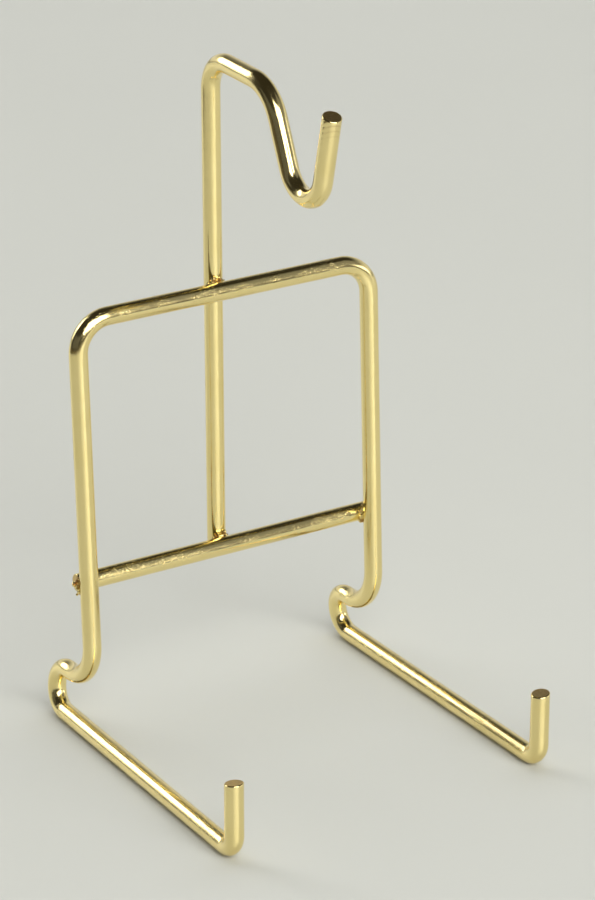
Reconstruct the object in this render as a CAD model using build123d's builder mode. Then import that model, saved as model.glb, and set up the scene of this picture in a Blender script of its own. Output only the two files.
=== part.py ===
from build123d import *
import os
from math import cos, radians, sin, tan

# A stand of polished wire that shows a plate upright on two arms and hangs its cup from a
# hook above it. Three lengths of the same round wire are bent to shape and welded where
# they cross: the main frame, a crossbar behind its uprights, and a post behind both that
# ends in the hook. Millimetres and degrees, +Z up, -Y towards the front. The origin is on
# the table, at the middle of the footprint.

# The wire and its welds
wire_diameter = 4.5
weld_set_down = 0.36  # how far two crossing wires are pressed into each other
weld_radius = 2.0  # of the nugget between them
end_chamfer = 0.25

# The main frame: top bar, uprights, and the foot on each side
upright_spacing = 79.3
top_bar_height = 105.4  # along the leaning uprights
frame_lean = 2.47  # backwards
corner_radius = 8.0
heel_radius = 11.0  # where an upright turns back into its foot
heel_straight = 0.85  # from there to the return loop
loop_radius = 5.4  # the return loop at the back of a foot
loop_straight = 0.25  # between its two quarter turns
arm_reach = 67.6  # forward from the foot line of the uprights
arm_offset = 1.3  # how far outside its upright an arm lies
arm_splay = 0.6
tip_height = 19.8
tip_bend_radius = 4.3
left_tip_shear = 8.0  # slope of the sheared end, down towards the back
right_tip_shear = 7.0  # slope of the sheared end, down towards the left

# The crossbar
crossbar_height = 39.45  # along the leaning uprights
crossbar_overhang = 1.15  # past the centreline of each upright

# The post and its hook
post_overhang = 3.15  # below the centreline of the crossbar
post_side_lean = 0.85  # to the left
hook_height = 162.0  # centreline of the run at the top of the post
run_length = 26.55
run_fall = 1.4
drop_length = 41.2
drop_angle = 67.0
rise_length = 39.1
rise_angle = 76.1
post_bend_radius = 8.0
drop_bend_radius = 11.3
hook_radius = 7.5
hook_tip_shear = 6.0  # from square, towards level

# Places that follow from the sizes above
wire_radius = wire_diameter / 2
welded_gap = wire_diameter - weld_set_down  # between the centrelines of two welded wires
loop_height = 2 * loop_radius + loop_straight
upper_level = wire_radius + loop_height
heel_tangent = heel_radius * tan(radians(90 + frame_lean) / 2)
loop_reach = upper_level * tan(radians(frame_lean)) + heel_tangent + heel_straight + loop_radius
foot_line = (arm_reach - loop_reach) / 2  # the line of the uprights would meet the table here
leaning = Plane(
    (0, foot_line, 0), x_dir=(1, 0, 0), z_dir=Vector(0, -1, 0).rotate(Axis.X, -frame_lean)
)


def on_frame(across, up, behind):
    """A point given across and up the leaning frame, and behind its plane."""
    return leaning.from_local_coords(Vector(across, up, -behind))


def foot_route(side):
    """Corners of one side of the frame, from the top bar's end to the tip."""
    upright_x = side * upright_spacing / 2
    heel_y = foot_line + upper_level * tan(radians(frame_lean))
    back, front = foot_line + loop_reach, foot_line - arm_reach
    arm_back = upright_x + side * (arm_offset - loop_reach * tan(radians(arm_splay)))
    arm_front = upright_x + side * (arm_offset + arm_reach * tan(radians(arm_splay)))
    return [
        on_frame(upright_x, top_bar_height, 0),
        Vector(upright_x, heel_y, upper_level),
        Vector(upright_x, back, upper_level),
        Vector(arm_back, back, wire_radius),
        Vector(arm_front, front, wire_radius),
        Vector(arm_front, front, tip_height + wire_radius),
    ]


def weld(across, up, behind):
    """The nugget that fills the gap between two crossing wires, centred between them."""
    with Locations(Plane(on_frame(across, up, behind), z_dir=leaning.z_dir)):
        Cylinder(weld_radius, welded_gap)


def section(route):
    """The plane of the wire's round section at the start of a route."""
    return Plane(origin=route @ 0, z_dir=route % 0)


def shear_end(place, normal):
    """Cut off the wire that stands past a sheared end, and break the edge of the cut."""
    with BuildSketch(Plane(place, z_dir=normal)) as cut:
        Circle(wire_diameter)
    extrude(cut.sketch, amount=2 * wire_diameter, mode=Mode.SUBTRACT)
    chamfer(faces().sort_by_distance(place)[0].edge(), end_chamfer)


# Main frame: one wire from the left tip over the top bar to the right tip
left, right = foot_route(-1), foot_route(1)
foot_radii = [tip_bend_radius, loop_radius, loop_radius, heel_radius, corner_radius]
with BuildPart() as main_frame:
    with BuildLine() as frame_route:
        FilletPolyline(*reversed(left), *right, radius=[*foot_radii, *reversed(foot_radii)])
    with BuildSketch(section(frame_route.line)):
        Circle(wire_radius)
    sweep(path=frame_route.line)
    shear_end((left[-1].X, left[-1].Y, tip_height), Vector(0, 0, 1).rotate(Axis.X, -left_tip_shear))
    shear_end((right[-1].X, right[-1].Y, tip_height), Vector(0, 0, 1).rotate(Axis.Y, -right_tip_shear))
main_frame.part.label = "main_frame"

# Crossbar: a straight wire behind the uprights, welded to each of them
bar_half = upright_spacing / 2 + crossbar_overhang
with BuildPart() as lower_crossbar:
    with BuildSketch(Plane(on_frame(-bar_half, crossbar_height, welded_gap), z_dir=(1, 0, 0))):
        Circle(wire_radius)
    extrude(amount=2 * bar_half)
    chamfer(edges().filter_by(GeomType.CIRCLE), end_chamfer)
    for side in (-1, 1):
        weld(side * upright_spacing / 2, crossbar_height, welded_gap / 2)
    add(main_frame.part, mode=Mode.SUBTRACT)
lower_crossbar.part.label = "lower_crossbar"

# Post and hook: one wire that is straight behind both bars, then bent forward and down
side_drift = (top_bar_height - crossbar_height) * tan(radians(post_side_lean))
at_crossbar = on_frame(0, crossbar_height, 2 * welded_gap)
at_top_bar = on_frame(-side_drift, top_bar_height, welded_gap)
post_line = (at_top_bar - at_crossbar).normalized()
post_foot = at_crossbar - post_line * post_overhang
post_top = at_crossbar + post_line * ((hook_height - at_crossbar.Z) / post_line.Z)
hook_plane = Plane(post_top, x_dir=(0, -1, 0), z_dir=(-post_line.Z, 0, post_line.X))


def heading(angle):
    """The direction in the hook's plane at an angle above level, forwards."""
    return hook_plane.x_dir * cos(radians(angle)) + hook_plane.y_dir * sin(radians(angle))


run_end = post_top + heading(-run_fall) * run_length
valley = run_end + heading(-drop_angle) * drop_length
hook_tip = valley + heading(rise_angle) * rise_length
with BuildPart() as hook_post:
    with BuildLine() as post_route:
        FilletPolyline(
            post_foot,
            post_top,
            run_end,
            valley,
            hook_tip + heading(rise_angle) * wire_radius,
            radius=[post_bend_radius, drop_bend_radius, hook_radius],
        )
    with BuildSketch(section(post_route.line)):
        Circle(wire_radius)
    sweep(path=post_route.line)
    chamfer(faces().sort_by_distance(post_foot)[0].edge(), end_chamfer)
    shear_end(hook_tip, heading(rise_angle + hook_tip_shear))
    weld(0, crossbar_height, 1.5 * welded_gap)
    weld(-side_drift, top_bar_height, welded_gap / 2)
    add(main_frame.part, mode=Mode.SUBTRACT)
    add(lower_crossbar.part, mode=Mode.SUBTRACT)
hook_post.part.label = "hook_post"

os.makedirs("parts", exist_ok=True)
export_step(main_frame.part, "parts/main_frame.step")
export_step(lower_crossbar.part, "parts/lower_crossbar.step")
export_step(hook_post.part, "parts/hook_post.step")
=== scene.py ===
"""Dresses the wire plate stand: bent wires, weld flash, bright plating and a small studio."""

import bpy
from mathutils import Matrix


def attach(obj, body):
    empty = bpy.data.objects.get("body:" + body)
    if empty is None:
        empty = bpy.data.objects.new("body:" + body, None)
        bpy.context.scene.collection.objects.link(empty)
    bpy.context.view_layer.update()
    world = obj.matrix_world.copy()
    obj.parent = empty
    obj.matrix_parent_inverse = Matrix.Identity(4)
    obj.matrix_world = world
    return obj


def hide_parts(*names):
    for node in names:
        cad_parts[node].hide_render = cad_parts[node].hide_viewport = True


bl_info = {
    "name": "Wire Plate Stand",
    "version": (1, 0, 0),
    "blender": (4, 5, 0),
    "location": "3D View > Sidebar > Plate Stand",
    "description": "Builds a plated wire stand for a plate and its cup, with a pale studio",
    "category": "Add Mesh",
}

import math
import random

import bmesh
import bpy
from mathutils import Matrix, Vector, noise

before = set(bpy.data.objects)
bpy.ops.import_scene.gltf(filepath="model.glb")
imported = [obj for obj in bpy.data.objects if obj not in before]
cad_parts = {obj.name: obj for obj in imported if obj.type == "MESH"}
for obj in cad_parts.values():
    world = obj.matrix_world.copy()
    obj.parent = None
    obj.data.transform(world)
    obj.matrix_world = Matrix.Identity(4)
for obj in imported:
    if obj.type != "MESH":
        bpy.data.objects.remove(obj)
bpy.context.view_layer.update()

MM = 0.001
PICTURE_HEIGHT = 900  # pixels
SENSOR = 36.0  # mm on the picture's long side
BODY = "root"


def linear(code):
    """Linear colour of an sRGB hex code."""
    parts = [int(code[i:i + 2], 16) / 255 for i in (0, 2, 4)]
    return [p / 12.92 if p <= 0.04045 else ((p + 0.055) / 1.055) ** 2.4 for p in parts]


def size_property(name, millimetres, description):
    return bpy.props.FloatProperty(
        name=name, description=description, default=millimetres * MM, unit="LENGTH", precision=5
    )


def angle_property(name, degrees, description):
    return bpy.props.FloatProperty(
        name=name, description=description, default=math.radians(degrees), subtype="ANGLE"
    )


def factor_property(name, value, description):
    return bpy.props.FloatProperty(
        name=name, description=description, default=value, min=0, subtype="FACTOR"
    )


def colour_property(name, code, description):
    return bpy.props.FloatVectorProperty(
        name=name, description=description, default=linear(code), size=3, min=0, max=1,
        subtype="COLOR",
    )


class StandSizes(bpy.types.PropertyGroup):
    """Centreline sizes of the three wires."""

    wire: size_property("Wire", 4.5, "Diameter of the wire")
    set_down: size_property("Weld Set-Down", 0.36, "How far crossing wires are pressed together")
    spacing: size_property("Upright Spacing", 79.3, "Between the two uprights")
    height: size_property("Top Bar Height", 105.4, "Along the leaning uprights")
    lean: angle_property("Lean", 2.47, "Backward lean of the frame")
    corner_radius: size_property("Corner Radius", 8.0, "Bend between upright and top bar")
    heel_radius: size_property("Heel Radius", 11.0, "Bend where an upright turns back")
    heel_straight: size_property("Heel Straight", 0.85, "From the heel to the return loop")
    loop_radius: size_property("Loop Radius", 5.4, "Return loop at the back of a foot")
    loop_straight: size_property("Loop Straight", 0.25, "Between the loop's quarter turns")
    arm_reach: size_property("Arm Reach", 67.6, "Forward from the foot line of the uprights")
    arm_offset: size_property("Arm Offset", 1.3, "How far an arm lies outside its upright")
    arm_splay: angle_property("Arm Splay", 0.6, "Outward turn of each arm")
    tip_height: size_property("Tip Height", 19.8, "Top of the upturned tips")
    tip_radius: size_property("Tip Radius", 4.3, "Bend between arm and tip")
    crossbar_height: size_property("Crossbar Height", 39.45, "Along the leaning uprights")
    crossbar_overhang: size_property("Crossbar Overhang", 1.15, "Past each upright's centreline")
    post_overhang: size_property("Post Overhang", 3.15, "Below the crossbar's centreline")
    post_lean: angle_property("Post Side Lean", 0.85, "Sideways lean of the post")
    hook_height: size_property("Hook Height", 162.0, "Centreline of the run over the post")
    run_length: size_property("Run Length", 26.55, "Forward run at the top of the post")
    run_fall: angle_property("Run Fall", 1.4, "Slope of the run below level")
    drop_length: size_property("Drop Length", 41.2, "From the run down to the hook")
    drop_angle: angle_property("Drop Angle", 67.0, "Slope of the drop below level")
    rise_length: size_property("Rise Length", 39.1, "From the hook up to its tip")
    rise_angle: angle_property("Rise Angle", 76.1, "Slope of the rise above level")
    post_radius: size_property("Post Bend Radius", 8.0, "Bend between post and run")
    drop_radius: size_property("Drop Bend Radius", 11.3, "Bend between run and drop")
    hook_radius: size_property("Hook Radius", 7.5, "Bend at the bottom of the hook")
    end_round: size_property("End Rounding", 0.3, "Rounding left by shears and tumbling")


class PlatingLook(bpy.types.PropertyGroup):
    """Colours and polish of the plating."""

    bright: colour_property("Bright Plating", "F9E7A8", "Brass plating where it is clean")
    deep: colour_property("Deep Plating", "F2DE97", "Brass plating where it is thicker")
    heat: colour_property("Heat Tint", "A9783A", "Plating over metal that a weld has burnt")
    roughness: factor_property("Roughness", 0.15, "Of the bright plating")
    rubbed: factor_property("Rubbed Roughness", 0.26, "Where handling has dulled it")


class StageLook(bpy.types.PropertyGroup):
    """Floor, camera and lamps."""

    paper: colour_property("Paper", "D0D1C9", "Pale paper under the stand")
    azimuth: angle_property("Camera Azimuth", -31.854, "0 looks along +Y")
    elevation: angle_property("Camera Elevation", 23.015, "Above the horizon")
    distance: size_property("Camera Distance", 858.3, "From the aim point")
    aim: bpy.props.FloatVectorProperty(
        name="Camera Aim", description="Point at the middle of the picture", size=3,
        default=(0.01694, 0.02465, 0.06254), subtype="XYZ", unit="LENGTH", precision=5,
    )
    focal_pixels: bpy.props.FloatProperty(
        name="Focal Length", description="In pixels of a picture 900 pixels high", default=3576.7
    )
    paper_roughness: factor_property("Paper Roughness", 0.42, "Of the paper's coating")
    key: factor_property("Key Light", 6.0, "Brightness of the front softbox, where 1 is white")
    back: factor_property("Back Light", 4.5, "Brightness of the rear softbox, where 1 is white")
    wall: factor_property("Side Wall", 0.75, "Brightness of the pale wall on the right")
    window: factor_property("Side Window", 2.6, "Brightness of the window light on the right")
    fill: factor_property("Paper Fill", 1.68, "Light on the paper that metal doesn't mirror")
    corner: factor_property("Ceiling Corner", 0.22, "Brightness of the dim corner on the right")
    room: factor_property("Room", 0.03, "Brightness of the dark room")
    room_tint: colour_property("Room Tint", "FFF3D3", "Warm tone of the dark room")
    # painted dark reflection: colour of a dark sheet that only the wires mirror, standing in for
    # shade round the lit paper
    cloth: colour_property("Cloth", "61594B", "Dark cloth that only the wires mirror")


# Routes


def leaning_point(sizes, across, up, behind):
    """A point across and up the leaning frame, and behind its plane."""
    foot_line = (sizes.arm_reach - loop_reach(sizes)) / 2
    return Vector((
        across,
        foot_line + up * math.sin(sizes.lean) + behind * math.cos(sizes.lean),
        up * math.cos(sizes.lean) - behind * math.sin(sizes.lean),
    ))


def upper_level(sizes):
    """Height of the centreline where an upright has turned back into its foot."""
    return sizes.wire / 2 + 2 * sizes.loop_radius + sizes.loop_straight


def loop_reach(sizes):
    """How far the return loop lies behind the foot line of the uprights."""
    heel_tangent = sizes.heel_radius * math.tan((math.pi / 2 + sizes.lean) / 2)
    heel_offset = upper_level(sizes) * math.tan(sizes.lean)
    return heel_offset + heel_tangent + sizes.heel_straight + sizes.loop_radius


def foot_corners(sizes, side):
    """Corners of one side of the frame, from the top bar's end to the tip."""
    level = upper_level(sizes)
    reach = loop_reach(sizes)
    foot_line = (sizes.arm_reach - reach) / 2
    back, front = foot_line + reach, foot_line - sizes.arm_reach
    upright = side * sizes.spacing / 2
    splay = math.tan(sizes.arm_splay)
    arm_back = upright + side * (sizes.arm_offset - reach * splay)
    arm_front = upright + side * (sizes.arm_offset + sizes.arm_reach * splay)
    return [
        leaning_point(sizes, upright, sizes.height, 0),
        Vector((upright, foot_line + level * math.tan(sizes.lean), level)),
        Vector((upright, back, level)),
        Vector((arm_back, back, sizes.wire / 2)),
        Vector((arm_front, front, sizes.wire / 2)),
        Vector((arm_front, front, sizes.tip_height)),
    ]


def post_drift(sizes):
    """How far the post has leant to the left where it passes the top bar."""
    return (sizes.height - sizes.crossbar_height) * math.tan(sizes.post_lean)


def post_corners(sizes):
    """Corners of the post and hook, from its foot to its tip."""
    gap = sizes.wire - sizes.set_down
    low = leaning_point(sizes, 0, sizes.crossbar_height, 2 * gap)
    high = leaning_point(sizes, -post_drift(sizes), sizes.height, gap)
    up = (high - low).normalized()
    top = low + up * ((sizes.hook_height - low.z) / up.z)
    normal = Vector((-up.z, 0, up.x)).normalized()
    forward = Vector((0, -1, 0))
    rising = normal.cross(forward)

    def heading(angle):
        return forward * math.cos(angle) + rising * math.sin(angle)

    run_end = top + heading(-sizes.run_fall) * sizes.run_length
    valley = run_end + heading(-sizes.drop_angle) * sizes.drop_length
    tip = valley + heading(sizes.rise_angle) * sizes.rise_length
    return [low - up * sizes.post_overhang, top, run_end, valley, tip]


def welds(sizes):
    """The middle of each weld."""
    gap = sizes.wire - sizes.set_down
    half = sizes.spacing / 2
    return {
        "left_weld": leaning_point(sizes, -half, sizes.crossbar_height, gap / 2),
        "right_weld": leaning_point(sizes, half, sizes.crossbar_height, gap / 2),
        "post_weld_low": leaning_point(sizes, 0, sizes.crossbar_height, 1.5 * gap),
        "post_weld_high": leaning_point(sizes, -post_drift(sizes), sizes.height, gap / 2),
    }


# Meshes

RING_SIDES = 48
LIP_STEPS = 5
FACE_RINGS = 5
STRAIGHT_STEP = 1.0 * MM
BEND_STEP = math.radians(3)
GRIP_LENGTH = 6.0 * MM  # from a cut, over which the marks of the shear's grip fade
UPRIGHT_SPARED = 0.8  # share of the wear that upright runs escape


def centreline(corners, radii):
    """Points and directions along straight runs joined by arcs."""
    line = []

    def run(start, end):
        length = (end - start).length
        count = max(1, round(length / STRAIGHT_STEP))
        heading = (end - start).normalized()
        line.extend((start.lerp(end, i / count), heading) for i in range(count))

    last = corners[0]
    for before, corner, after, radius in zip(corners, corners[1:], corners[2:], radii):
        inward, outward = (corner - before).normalized(), (after - corner).normalized()
        turn = inward.angle(outward)
        tangent = radius * math.tan(turn / 2)
        start = corner - inward * tangent
        run(last, start)
        side = (outward - inward * math.cos(turn)).normalized()
        count = max(2, round(turn / BEND_STEP))
        for i in range(count):
            angle = turn * i / count
            sideways = side * radius * (1 - math.cos(angle))
            place = start + sideways + inward * radius * math.sin(angle)
            line.append((place, inward * math.cos(angle) + side * math.sin(angle)))
        last = corner + outward * tangent
    run(last, corners[-1])
    line.append((corners[-1], (corners[-1] - last).normalized()))
    return line


def wire_object(name, corners, radii, sizes, first_cut=None, last_cut=None, grip=0.0, wear=1.0):
    """A round wire along its centreline, with sheared ends.

    grip says how clear the marks of the shear's grip are, and wear how much it was handled.
    Things rest on the level runs, so those are worn most.
    """
    line = centreline(corners, radii)
    radius = sizes.wire / 2
    heading = line[0][1]
    across = heading.orthogonal().normalized()
    vertices, places, handled, rings = [], [], [], []
    travelled = 0.0
    directions = [math.tau * i / RING_SIDES for i in range(RING_SIDES)]

    def ring(centre, tangent, spread, cut=None, inset=0.0):
        """One ring of vertices. A cut slides each of them along the wire onto its plane."""
        other = tangent.cross(across)
        indices = []
        for angle in directions:
            offset = (across * math.cos(angle) + other * math.sin(angle)) * spread
            slide = 0.0
            if cut is not None:
                slide = -offset.dot(cut) / tangent.dot(cut)
            shift = slide + inset
            indices.append(len(vertices))
            vertices.append(centre + offset + tangent * shift)
            places.append((travelled + shift, math.cos(angle) * spread, math.sin(angle) * spread))
            handled.append(wear * (1 - UPRIGHT_SPARED * abs(tangent.z)))
        rings.append(indices)

    def end(centre, tangent, cut, sign):
        """Rounded lip and face of a sheared end. sign is 1 where the wire ends, else -1."""
        lip = sizes.end_round
        turns = [math.pi / 2 * i / LIP_STEPS for i in range(LIP_STEPS + 1)]
        rows = [(radius - lip + lip * math.cos(a), sign * (lip * math.sin(a) - lip)) for a in turns]
        rows += [((radius - lip) * (1 - i / FACE_RINGS), 0.0) for i in range(1, FACE_RINGS)]
        if sign < 0:
            rows.reverse()
        for spread, inset in rows:
            ring(centre, tangent, spread, cut, inset)

    first, last = line[0], line[-1]
    end(first[0], first[1], first_cut or first[1], -1)
    for (place, tangent), (before, _) in zip(line[1:-1], line):
        travelled += (place - before).length
        bend = heading.rotation_difference(tangent)
        across = (bend @ across).normalized()
        heading = tangent
        ring(place, tangent, radius)
    travelled += (last[0] - line[-2][0]).length
    end(last[0], last[1], last_cut or last[1], 1)

    faces, ends = ring_faces(rings)
    for rim, turned in ((rings[0], True), (rings[-1], False)):
        middle = len(vertices)
        vertices.append(sum((vertices[i] for i in rim), Vector()) / RING_SIDES)
        places.append((places[rim[0]][0], 0.0, 0.0))
        handled.append(0.0)
        for one, other in zip(rim, rim[1:] + rim[:1]):
            faces.append((other, one, middle) if turned else (one, other, middle))
            ends.append(1)
    marks = []
    for along, _, _ in places:
        from_cuts = [travelled]
        if first_cut is not None:
            from_cuts.append(along)
        if last_cut is not None:
            from_cuts.append(travelled - along)
        marks.append(grip * max(0.0, 1 - min(from_cuts) / GRIP_LENGTH))

    mesh = bpy.data.meshes.new(name)
    mesh.from_pydata(vertices, [], faces)
    mesh.update()
    mesh.polygons.foreach_set("material_index", ends)
    store(mesh, "wire_space", "FLOAT_VECTOR", places)
    store(mesh, "handled", "FLOAT", handled)
    store(mesh, "grip_marks", "FLOAT", marks)
    return placed(name, mesh)


def ring_faces(rings):
    """Faces between rings of vertices, and for each face 1 on a sheared end and 0 elsewhere."""
    faces, ends = [], []
    for number, (one, two) in enumerate(zip(rings, rings[1:])):
        on_end = min(number, len(rings) - 2 - number) < FACE_RINGS
        for i in range(RING_SIDES):
            j = (i + 1) % RING_SIDES
            faces.append((one[i], one[j], two[j], two[i]))
            ends.append(int(on_end))
    return faces, ends


def placed(name, data):
    """A new object in the scene."""
    made = bpy.data.objects.new(name, data)
    bpy.context.collection.objects.link(made)
    return made


def store(mesh, name, kind, values):
    """Keeps one value per vertex for the materials to read."""
    attribute = mesh.attributes.new(name, kind, "POINT")
    key = "vector" if kind == "FLOAT_VECTOR" else "value"
    flat = [part for value in values for part in value] if kind == "FLOAT_VECTOR" else values
    attribute.data.foreach_set(key, flat)


def finish_piece(piece, *materials):
    """Smooth shading, its materials, and its place in the frame."""
    mesh = piece.data
    mesh.polygons.foreach_set("use_smooth", [True] * len(mesh.polygons))
    for material in materials:
        mesh.materials.append(material)
    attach(piece, BODY)


def finish_wire(piece, node):
    """A bare wire takes the place of its CAD node, with its sheared ends duller than the rest."""
    finish_piece(piece, plated_wire(), sheared_end())
    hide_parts(node)


# Materials


def per(millimetres):
    """Scale of a pattern whose parts are this far apart."""
    return 1 / (millimetres * MM)


def add_node(tree, kind, settings=None, links=None):
    """One node with its settings, and its inputs linked from other nodes' outputs."""
    made = tree.nodes.new(kind)
    for name, value in (settings or {}).items():
        if isinstance(name, str) and name in made.bl_rna.properties:
            setattr(made, name, value)
        else:
            made.inputs[name].default_value = value
    for name, source in (links or {}).items():
        tree.links.new(source, made.inputs[name])
    return made


def new_material(name):
    """An empty node material and its output."""
    material = bpy.data.materials.new(name)
    material.use_nodes = True
    material.node_tree.nodes.clear()
    return material, add_node(material.node_tree, "ShaderNodeOutputMaterial")


def plated_wire():
    """Bright brass plating over drawn steel wire.

    The wire was drawn through a die, then plated bright. It mirrors the room, and faint
    lines along the wire, scuffs, nicks and a soft unevenness keep the mirror from being perfect.
    """
    look = bpy.context.scene.plating_look
    material, output = new_material("bright_brass_plated_wire")
    tree = material.node_tree
    space = add_node(tree, "ShaderNodeAttribute", {"attribute_name": "wire_space"})
    # draw lines are 0.15 mm apart and 12 mm long; real ones are finer, and wouldn't show
    along = add_node(
        tree, "ShaderNodeVectorMath", {"operation": "MULTIPLY", 1: (per(12), per(0.15), per(0.15))},
        {0: space.outputs["Vector"]},
    )
    lines = add_node(
        tree, "ShaderNodeTexNoise", {"Scale": 1.0, "Detail": 2.0, "Roughness": 0.6},
        {"Vector": along.outputs["Vector"]},
    )
    # scuffs are 0.5 mm wide and 3 mm long, cloudy patches 8 mm
    slanted = add_node(
        tree, "ShaderNodeVectorMath", {"operation": "MULTIPLY", 1: (per(3), per(0.5), per(0.5))},
        {0: space.outputs["Vector"]},
    )
    scuffs = add_node(
        tree, "ShaderNodeTexNoise", {"Scale": 1.0, "Detail": 3.0, "Roughness": 0.7},
        {"Vector": slanted.outputs["Vector"]},
    )
    patches = add_node(
        tree, "ShaderNodeTexNoise", {"Scale": per(8), "Detail": 2.0},
        {"Vector": space.outputs["Vector"]},
    )
    tone = add_node(
        tree, "ShaderNodeMix",
        {"data_type": "RGBA", 6: (*look.bright, 1), 7: (*look.deep, 1)},
        {0: patches.outputs["Fac"]},
    )
    polish = add_node(
        tree, "ShaderNodeMapRange",
        {"From Min": 0.45, "From Max": 0.8, "To Min": look.roughness, "To Max": look.rubbed},
        {"Value": scuffs.outputs["Fac"]},
    )
    worn = nicks_and_pits(tree, space, patches)
    gripped = grip_ridges(tree, space)
    grimy = add_node(
        tree, "ShaderNodeMapRange", {"From Min": 0.1, "From Max": 1.0, "To Max": 0.35},
        {"Value": gripped.outputs["Value"]},
    )
    colour = add_node(
        tree, "ShaderNodeMix",
        {"data_type": "RGBA", 7: (*look.heat, 1)},
        {0: grimy.outputs["Result"], 6: tone.outputs[2]},
    )
    grooves = add_node(
        tree, "ShaderNodeBump", {"Strength": 0.12, "Distance": 0.02 * MM},
        {"Height": lines.outputs["Fac"]},
    )
    dents = add_node(
        tree, "ShaderNodeBump", {"Strength": 0.25, "Distance": 0.03 * MM},
        {"Height": scuffs.outputs["Fac"], "Normal": grooves.outputs["Normal"]},
    )
    pits = add_node(
        tree, "ShaderNodeBump", {"Strength": 0.8, "Distance": 0.035 * MM},
        {"Height": worn.outputs["Value"], "Normal": dents.outputs["Normal"]},
    )
    marks = add_node(
        tree, "ShaderNodeBump", {"Strength": 0.5, "Distance": 0.04 * MM},
        {"Height": gripped.outputs["Value"], "Normal": pits.outputs["Normal"]},
    )
    metal = add_node(
        tree, "ShaderNodeBsdfPrincipled", {"Metallic": 1.0},
        {
            "Base Color": colour.outputs[2],
            "Roughness": polish.outputs["Result"],
            "Normal": marks.outputs["Normal"],
        },
    )
    tree.links.new(metal.outputs["BSDF"], output.inputs["Surface"])
    return material


def nicks_and_pits(tree, space, patches):
    """Damage from handling, in loose groups on the runs that things touch."""
    # nicks are 0.25 mm wide and 0.5 mm long
    close = add_node(
        tree, "ShaderNodeVectorMath",
        {"operation": "MULTIPLY", 1: (per(0.5), per(0.25), per(0.25))},
        {0: space.outputs["Vector"]},
    )
    nicks = add_node(
        tree, "ShaderNodeTexNoise", {"Scale": 1.0, "Detail": 1.0},
        {"Vector": close.outputs["Vector"]},
    )
    nicked = add_node(
        tree, "ShaderNodeMapRange", {"From Min": 0.58, "From Max": 0.72},
        {"Value": nicks.outputs["Fac"]},
    )
    # pits 0.2 mm across and about 0.8 mm apart glint in the dark bands
    cells = add_node(
        tree, "ShaderNodeTexVoronoi", {"Scale": per(0.8)}, {"Vector": space.outputs["Vector"]}
    )
    pitted = add_node(
        tree, "ShaderNodeMapRange", {"From Min": 0.2, "From Max": 0.08},
        {"Value": cells.outputs["Distance"]},
    )
    both = add_node(
        tree, "ShaderNodeMath", {"operation": "MAXIMUM"},
        {0: nicked.outputs["Result"], 1: pitted.outputs["Result"]},
    )
    grouped = add_node(
        tree, "ShaderNodeMapRange", {"From Min": 0.4, "From Max": 0.6},
        {"Value": patches.outputs["Fac"]},
    )
    in_groups = add_node(
        tree, "ShaderNodeMath", {"operation": "MULTIPLY"},
        {0: both.outputs["Value"], 1: grouped.outputs["Result"]},
    )
    handled = add_node(tree, "ShaderNodeAttribute", {"attribute_name": "handled"})
    return add_node(
        tree, "ShaderNodeMath", {"operation": "MULTIPLY"},
        {0: in_groups.outputs["Value"], 1: handled.outputs["Fac"]},
    )


def grip_ridges(tree, space):
    """Slanted ridges that the shear's grip left near a cut, 1.3 mm apart along the wire."""
    grip = add_node(tree, "ShaderNodeAttribute", {"attribute_name": "grip_marks"})
    # radians per metre along the wire and across it
    slant = add_node(
        tree, "ShaderNodeVectorMath", {"operation": "DOT_PRODUCT", 1: (4700, 4200, 2600)},
        {0: space.outputs["Vector"]},
    )
    ridges = add_node(tree, "ShaderNodeMath", {"operation": "SINE"}, {0: slant.outputs["Value"]})
    return add_node(
        tree, "ShaderNodeMath", {"operation": "MULTIPLY"},
        {0: ridges.outputs["Value"], 1: grip.outputs["Fac"]},
    )


def sheared_end():
    """Plated steel where the wire was sheared off.

    Shearing tears the steel, so the face is duller than the wire, with coarse ridges.
    """
    look = bpy.context.scene.plating_look
    material, output = new_material("plated_sheared_steel_end")
    tree = material.node_tree
    space = add_node(tree, "ShaderNodeAttribute", {"attribute_name": "wire_space"})
    # torn ridges about 0.4 mm apart
    ridges = add_node(
        tree, "ShaderNodeTexNoise", {"Scale": per(0.4), "Detail": 3.0, "Roughness": 0.65},
        {"Vector": space.outputs["Vector"]},
    )
    tone = add_node(
        tree, "ShaderNodeMix",
        {"data_type": "RGBA", 6: (*look.heat, 1), 7: (*look.deep, 1)},
        {0: ridges.outputs["Fac"]},
    )
    bump = add_node(
        tree, "ShaderNodeBump", {"Strength": 0.6, "Distance": 0.08 * MM},
        {"Height": ridges.outputs["Fac"]},
    )
    metal = add_node(
        tree, "ShaderNodeBsdfPrincipled", {"Metallic": 1.0, "Roughness": 0.38},
        {"Base Color": tone.outputs[2], "Normal": bump.outputs["Normal"]},
    )
    tree.links.new(metal.outputs["BSDF"], output.inputs["Surface"])
    return material


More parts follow.
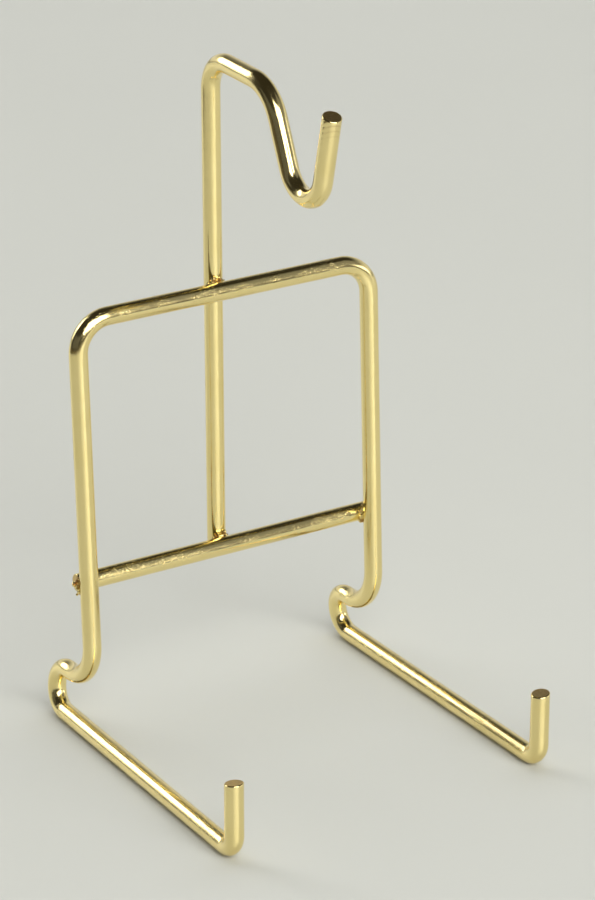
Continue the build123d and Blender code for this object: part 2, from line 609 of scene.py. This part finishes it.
def weld_flash():
    """Steel squeezed out by a resistance weld, and plated with the rest.

    It froze in lumps, so the plating glints in specks between dull, darker hollows.
    """
    look = bpy.context.scene.plating_look
    material, output = new_material("plated_weld_flash")
    tree = material.node_tree
    place = add_node(tree, "ShaderNodeTexCoord")
    # grains of spatter about 0.5 mm across, and burnt blotches 1.1 mm
    grains = add_node(
        tree, "ShaderNodeTexVoronoi", {"Scale": per(0.5)}, {"Vector": place.outputs["Object"]}
    )
    blotches = add_node(
        tree, "ShaderNodeTexNoise", {"Scale": per(1.1), "Detail": 3.0},
        {"Vector": place.outputs["Object"]},
    )
    burnt = add_node(
        tree, "ShaderNodeMapRange", {"From Min": 0.5, "From Max": 0.62},
        {"Value": blotches.outputs["Fac"]},
    )
    tone = add_node(
        tree, "ShaderNodeMix",
        {"data_type": "RGBA", 6: (*look.deep, 1), 7: (*look.heat, 1)},
        {0: burnt.outputs["Result"]},
    )
    polish = add_node(
        tree, "ShaderNodeMapRange", {"To Min": 0.12, "To Max": 0.5},
        {"Value": burnt.outputs["Result"]},
    )
    bump = add_node(
        tree, "ShaderNodeBump", {"Strength": 0.7, "Distance": 0.15 * MM},
        {"Height": grains.outputs["Distance"]},
    )
    metal = add_node(
        tree, "ShaderNodeBsdfPrincipled", {"Metallic": 1.0},
        {
            "Base Color": tone.outputs[2],
            "Roughness": polish.outputs["Result"],
            "Normal": bump.outputs["Normal"],
        },
    )
    tree.links.new(metal.outputs["BSDF"], output.inputs["Surface"])
    return material


def coated_paper():
    """Pale coated paper.

    Its clay coating gives the wires a soft sheen to mirror, and its tone is nearly even.
    """
    look = bpy.context.scene.stage_look
    material, output = new_material("pale_coated_paper")
    tree = material.node_tree
    place = add_node(tree, "ShaderNodeTexCoord")
    # soft clouds about 150 mm across
    clouds = add_node(
        tree, "ShaderNodeTexNoise", {"Scale": per(150), "Detail": 1.0},
        {"Vector": place.outputs["Object"]},
    )
    shade = [part * 0.97 for part in look.paper]  # where a cloud is darkest
    tone = add_node(
        tree, "ShaderNodeMix",
        {"data_type": "RGBA", 6: (*look.paper, 1), 7: (*shade, 1)},
        {0: clouds.outputs["Fac"]},
    )
    # the wires mirror the sheen, and the camera sees the paper matt from every side
    path = add_node(tree, "ShaderNodeLightPath")
    sheen = add_node(
        tree, "ShaderNodeMapRange", {"To Min": 0.65, "To Max": 0.0},
        {"Value": path.outputs["Is Camera Ray"]},
    )
    paper = add_node(
        tree, "ShaderNodeBsdfPrincipled", {"Roughness": look.paper_roughness, "IOR": 1.6},
        {"Base Color": tone.outputs[2], "Specular IOR Level": sheen.outputs["Result"]},
    )
    tree.links.new(paper.outputs["BSDF"], output.inputs["Surface"])
    return material


def glowing_card(name, brightness):
    """A lamp's diffuser, which glows less towards its edges, where 1 is white."""
    material, output = new_material(name)
    tree = material.node_tree
    glow = add_node(tree, "ShaderNodeAttribute", {"attribute_name": "glow"})
    strength = add_node(
        tree, "ShaderNodeMath", {"operation": "MULTIPLY", 1: brightness}, {0: glow.outputs["Fac"]}
    )
    light = add_node(tree, "ShaderNodeEmission", {}, {"Strength": strength.outputs["Value"]})
    tree.links.new(light.outputs["Emission"], output.inputs["Surface"])
    return material


def painted_dark_reflection():
    """Painted dark reflection: a dull dark sheet round the paper that stands in for shade on the
    floor past its lit part. It is dull, so it only darkens what the wires mirror.
    """
    look = bpy.context.scene.stage_look
    material, output = new_material("painted_dark_reflection_sheet")
    cloth = add_node(material.node_tree, "ShaderNodeBsdfDiffuse", {"Color": (*look.cloth, 1)})
    material.node_tree.links.new(cloth.outputs["BSDF"], output.inputs["Surface"])
    return material


def room_world():
    """A dark room that the wires mirror. The camera sees the paper's colour past its edge."""
    look = bpy.context.scene.stage_look
    world = bpy.data.worlds.new("dark_room")
    world.use_nodes = True
    tree = world.node_tree
    tree.nodes.clear()
    output = add_node(tree, "ShaderNodeOutputWorld")
    path = add_node(tree, "ShaderNodeLightPath")
    room = add_node(
        tree, "ShaderNodeBackground", {"Color": (*look.room_tint, 1), "Strength": look.room}
    )
    sweep = add_node(tree, "ShaderNodeBackground", {"Color": (*look.paper, 1), "Strength": 1.0})
    seen = add_node(tree, "ShaderNodeMixShader", {}, {
        0: path.outputs["Is Camera Ray"],
        1: room.outputs["Background"],
        2: sweep.outputs["Background"],
    })
    tree.links.new(seen.outputs["Shader"], output.inputs["Surface"])
    return world


# Studio

SOFT_RIM = 0.1  # share of a card that fades towards its edge
CARD_COLUMNS, CARD_ROWS = 24, 16  # faces across and up a card
PAPER_HALF = 4.0  # metres from the stand to the sides of the paper
DARK_RING_SIDES = (-140, 55)  # azimuths between which the painted dark reflection ring lies
DARK_RING_STEPS = 48
DARK_RING_CLOSE, DARK_RING_FAR = 0.42, 0.75  # metres from the stand to the dark ring's inner rim
DARK_RING_FARTHEST = math.radians(20)  # azimuth where that rim is farthest


def stage_mesh(name, vertices, faces, material, **values):
    """One mesh of the stage, with its material and any values that the material reads."""
    mesh = bpy.data.meshes.new(name)
    mesh.from_pydata(vertices, [], faces)
    for key, numbers in values.items():
        store(mesh, key, "FLOAT", numbers)
    mesh.materials.append(material)
    made = placed(name, mesh)
    return made


def around(azimuth, distance, height):
    """A point round the stand. Azimuth 0 is towards the front, and 90 degrees to the right."""
    return (math.sin(azimuth) * distance, -math.cos(azimuth) * distance, height)


def card(name, sides, bottom, top, distance, brightness, fade=SOFT_RIM):
    """A curved glowing card round the stand, between two azimuths.

    bottom and top are the elevations of its lower and upper edge, at the first azimuth and
    at the second, and fade is the share of its height over which it darkens upwards. The
    camera doesn't see it, but the wires do.
    """
    vertices, glow = [], []
    for row in range(CARD_ROWS + 1):
        for column in range(CARD_COLUMNS + 1):
            u, v = column / CARD_COLUMNS, row / CARD_ROWS
            low = bottom[0] + (bottom[1] - bottom[0]) * u
            high = top[0] + (top[1] - top[0]) * u
            azimuth = math.radians(sides[0] + (sides[1] - sides[0]) * u)
            elevation = math.radians(low + (high - low) * v)
            level, height = distance * math.cos(elevation), distance * math.sin(elevation)
            vertices.append(around(azimuth, level, height))
            glow.append(min(1.0, min(u, 1 - u, v) / SOFT_RIM, (1 - v) / fade))
    faces = []
    for row in range(CARD_ROWS):
        for column in range(CARD_COLUMNS):
            near = row * (CARD_COLUMNS + 1) + column
            over = near + CARD_COLUMNS + 1
            faces.append((near, near + 1, over + 1, over))
    made = stage_mesh(name, vertices, faces, glowing_card(name, brightness), glow=glow)
    made.visible_camera = made.visible_shadow = False
    return made


def dark_reflection_ring():
    """Painted dark reflection: a dark ring that only the wires mirror, standing in for shade round
    the lit paper. Its inner rim is nearer on the left than in front.
    """
    first, last = DARK_RING_SIDES
    vertices, faces = [], []
    for i in range(DARK_RING_STEPS + 1):
        azimuth = math.radians(first + (last - first) * i / DARK_RING_STEPS)
        share = (1 + math.cos(azimuth - DARK_RING_FARTHEST)) / 2
        inner = DARK_RING_CLOSE + (DARK_RING_FAR - DARK_RING_CLOSE) * share
        vertices += [around(azimuth, inner, 1 * MM), around(azimuth, PAPER_HALF, 1 * MM)]
    for i in range(0, 2 * DARK_RING_STEPS, 2):
        faces.append((i, i + 1, i + 3, i + 2))
    cloth = stage_mesh("painted_dark_reflection_ring", vertices, faces, painted_dark_reflection())
    cloth.visible_camera = cloth.visible_diffuse = cloth.visible_shadow = False


# Operators


class BuildBentFrame(bpy.types.Operator):
    """Bends one wire into the top bar, uprights, return loops, arms and tips"""

    bl_idname = "plate_stand.bent_frame"
    bl_label = "Bent Frame"

    left_shear: angle_property("Left Tip Shear", 8.0, "Slope of the cut, down towards the back")
    right_shear: angle_property("Right Tip Shear", 7.0, "Slope of the cut, down towards the left")

    def execute(self, context):
        sizes = context.scene.stand_sizes
        left, right = foot_corners(sizes, -1), foot_corners(sizes, 1)
        loop = sizes.loop_radius
        radii = [sizes.tip_radius, loop, loop, sizes.heel_radius, sizes.corner_radius]
        up = Vector((0, 0, 1))
        wire = wire_object(
            "bent_frame_wire", left[::-1] + right, radii + radii[::-1], sizes,
            first_cut=Matrix.Rotation(-self.left_shear, 3, "X") @ up,
            last_cut=Matrix.Rotation(-self.right_shear, 3, "Y") @ up,
            grip=0.3,
        )
        finish_wire(wire, "main_frame")
        return {"FINISHED"}


class BuildCrossbar(bpy.types.Operator):
    """Lays the straight lower crossbar behind the uprights"""

    bl_idname = "plate_stand.crossbar"
    bl_label = "Lower Crossbar"

    def execute(self, context):
        sizes = context.scene.stand_sizes
        gap = sizes.wire - sizes.set_down
        half = sizes.spacing / 2 + sizes.crossbar_overhang
        ends = [leaning_point(sizes, side * half, sizes.crossbar_height, gap) for side in (-1, 1)]
        finish_wire(wire_object("crossbar_wire", ends, [], sizes), "lower_crossbar")
        return {"FINISHED"}


class BuildHookPost(bpy.types.Operator):
    """Bends the post, its run, the drop and the cup hook"""

    bl_idname = "plate_stand.hook_post"
    bl_label = "Post and Cup Hook"

    tip_shear: angle_property("Hook Tip Shear", 6.0, "From square, towards level")

    def execute(self, context):
        sizes = context.scene.stand_sizes
        corners = post_corners(sizes)
        rise = (corners[-1] - corners[-2]).normalized()
        sideways = rise.cross(corners[1] - corners[0]).normalized()
        cut = Matrix.Rotation(-self.tip_shear, 3, sideways) @ rise
        radii = [sizes.post_radius, sizes.drop_radius, sizes.hook_radius]
        wire = wire_object(
            "hook_post_wire", corners, radii, sizes, last_cut=cut, grip=1.0, wear=0.2
        )
        finish_wire(wire, "hook_post")
        return {"FINISHED"}


class BuildWeldFlash(bpy.types.Operator):
    """Adds the lumps that each weld squeezed out between its wires"""

    bl_idname = "plate_stand.weld_flash"
    bl_label = "Weld Flash"

    spread: size_property("Spread", 2.5, "From the middle of a weld to the rim of its flash")
    thickness: size_property("Thickness", 1.5, "Half the thickness of the flash")
    lumps: size_property("Lumps", 0.6, "How far the lumps stand out")
    beads: bpy.props.IntProperty(
        name="Beads", description="Drops of spatter at each weld", default=9, min=0
    )

    def execute(self, context):
        sizes = context.scene.stand_sizes
        material = weld_flash()
        behind = leaning_point(sizes, 0, 0, 1) - leaning_point(sizes, 0, 0, 0)
        turn = behind.to_track_quat("Z", "Y").to_matrix().to_4x4()
        draw = random.Random(11)
        for number, (name, place) in enumerate(welds(sizes).items()):
            shape = bmesh.new()
            bmesh.ops.create_icosphere(shape, subdivisions=5, radius=1)
            seed = Vector((7.3, 2.9, 5.1)) * (number + 1)
            for vertex in shape.verts:
                out = vertex.co.copy()
                # four octaves, each 2.1 times finer than the last
                lump = noise.fractal(out * 3.0 + seed, 0.7, 2.1, 4)
                flat = Vector((out.x * self.spread, out.y * self.spread, out.z * self.thickness))
                vertex.co = flat + out * lump * self.lumps
            # the drops lie on the left of each weld and above it
            for _ in range(self.beads):
                angle = math.radians(draw.uniform(-60, 110))
                reach = self.spread * draw.uniform(0.85, 1.25)
                depth = self.thickness * draw.uniform(-0.5, 0.5)
                middle = (math.cos(angle) * reach, math.sin(angle) * reach, depth)
                size = self.spread * draw.uniform(0.12, 0.28)
                bmesh.ops.create_icosphere(
                    shape, subdivisions=3, radius=size, matrix=Matrix.Translation(middle)
                )
            bmesh.ops.transform(shape, matrix=Matrix.Translation(place) @ turn, verts=shape.verts)
            mesh = bpy.data.meshes.new(f"{name}_flash")
            shape.to_mesh(mesh)
            shape.free()
            finish_piece(placed(f"{name}_flash", mesh), material)
        return {"FINISHED"}


class BuildStage(bpy.types.Operator):
    """Sets the paper floor, the softboxes, the pale walls, the dark room and the camera"""

    bl_idname = "plate_stand.stage"
    bl_label = "Studio"

    def execute(self, context):
        look = context.scene.stage_look
        half = PAPER_HALF
        corners = [(-half, -half, 0), (half, -half, 0), (half, half, 0), (-half, half, 0)]
        stage_mesh("paper_floor", corners, [(0, 1, 2, 3)], coated_paper())
        # painted dark reflection: a dark ring round the paper that only the wires mirror
        dark_reflection_ring()

        # azimuths, elevations of the lower and upper edge, metres away, brightness; the rear
        # softbox follows the line that the arms mirror, and the left wall is dimmest
        card("front_softbox", (-38, 25), (28, 2), (58, 46), 2.6, look.key)
        card("rear_softbox", (-168, -143), (29, 3), (46, 32), 2.4, look.back)
        card("right_wall", (36, 228), (0, 0), (40, 46), 2.8, look.wall, 0.7)
        card("left_wall", (-122, -40), (0, 0), (30, 30), 2.8, look.corner / 2)
        card("ceiling_corner", (25, 75), (2, 24), (60, 62), 2.75, look.corner)
        card("right_window", (41, 74), (2, 2), (15, 15), 2.5, look.window)
        fill = card("paper_fill", (58, 238), (35, 35), (89, 89), 2.9, look.fill)
        fill.visible_glossy = False
        context.scene.world = room_world()

        back = Vector(around(look.azimuth, math.cos(look.elevation), math.sin(look.elevation)))
        lens = bpy.data.cameras.new("photo_camera")
        lens.sensor_width = SENSOR
        lens.lens = look.focal_pixels * SENSOR / PICTURE_HEIGHT
        camera = placed("photo_camera", lens)
        camera.rotation_mode = "QUATERNION"
        camera.location = Vector(look.aim) + back * look.distance
        camera.rotation_quaternion = back.to_track_quat("Z", "Y")
        context.scene.camera = camera
        context.scene.view_settings.view_transform = "Standard"
        return {"FINISHED"}


class PlateStandPanel(bpy.types.Panel):
    """Lists the stand's pieces, sizes and finishes"""

    bl_idname = "VIEW3D_PT_plate_stand"
    bl_label = "Wire Plate Stand"
    bl_space_type = "VIEW_3D"
    bl_region_type = "UI"
    bl_category = "Plate Stand"

    def draw(self, context):
        for operator in PIECES:
            self.layout.operator(operator.bl_idname)
        for group in (
            context.scene.stand_sizes, context.scene.plating_look, context.scene.stage_look
        ):
            box = self.layout.box()
            for name in group.bl_rna.properties.keys():
                if name not in ("rna_type", "name"):
                    box.prop(group, name)


PIECES = (BuildBentFrame, BuildCrossbar, BuildHookPost, BuildWeldFlash, BuildStage)
GROUPS = {"stand_sizes": StandSizes, "plating_look": PlatingLook, "stage_look": StageLook}


def register():
    for group in (*GROUPS.values(), *PIECES, PlateStandPanel):
        bpy.utils.register_class(group)
    for name, group in GROUPS.items():
        setattr(bpy.types.Scene, name, bpy.props.PointerProperty(type=group))


def unregister():
    for name in GROUPS:
        delattr(bpy.types.Scene, name)
    for group in (PlateStandPanel, *reversed(PIECES), *GROUPS.values()):
        bpy.utils.unregister_class(group)


def main():
    register()
    for operator in PIECES:
        group, name = operator.bl_idname.split(".")
        getattr(getattr(bpy.ops, group), name)()


if __name__ == "__main__":
    main()
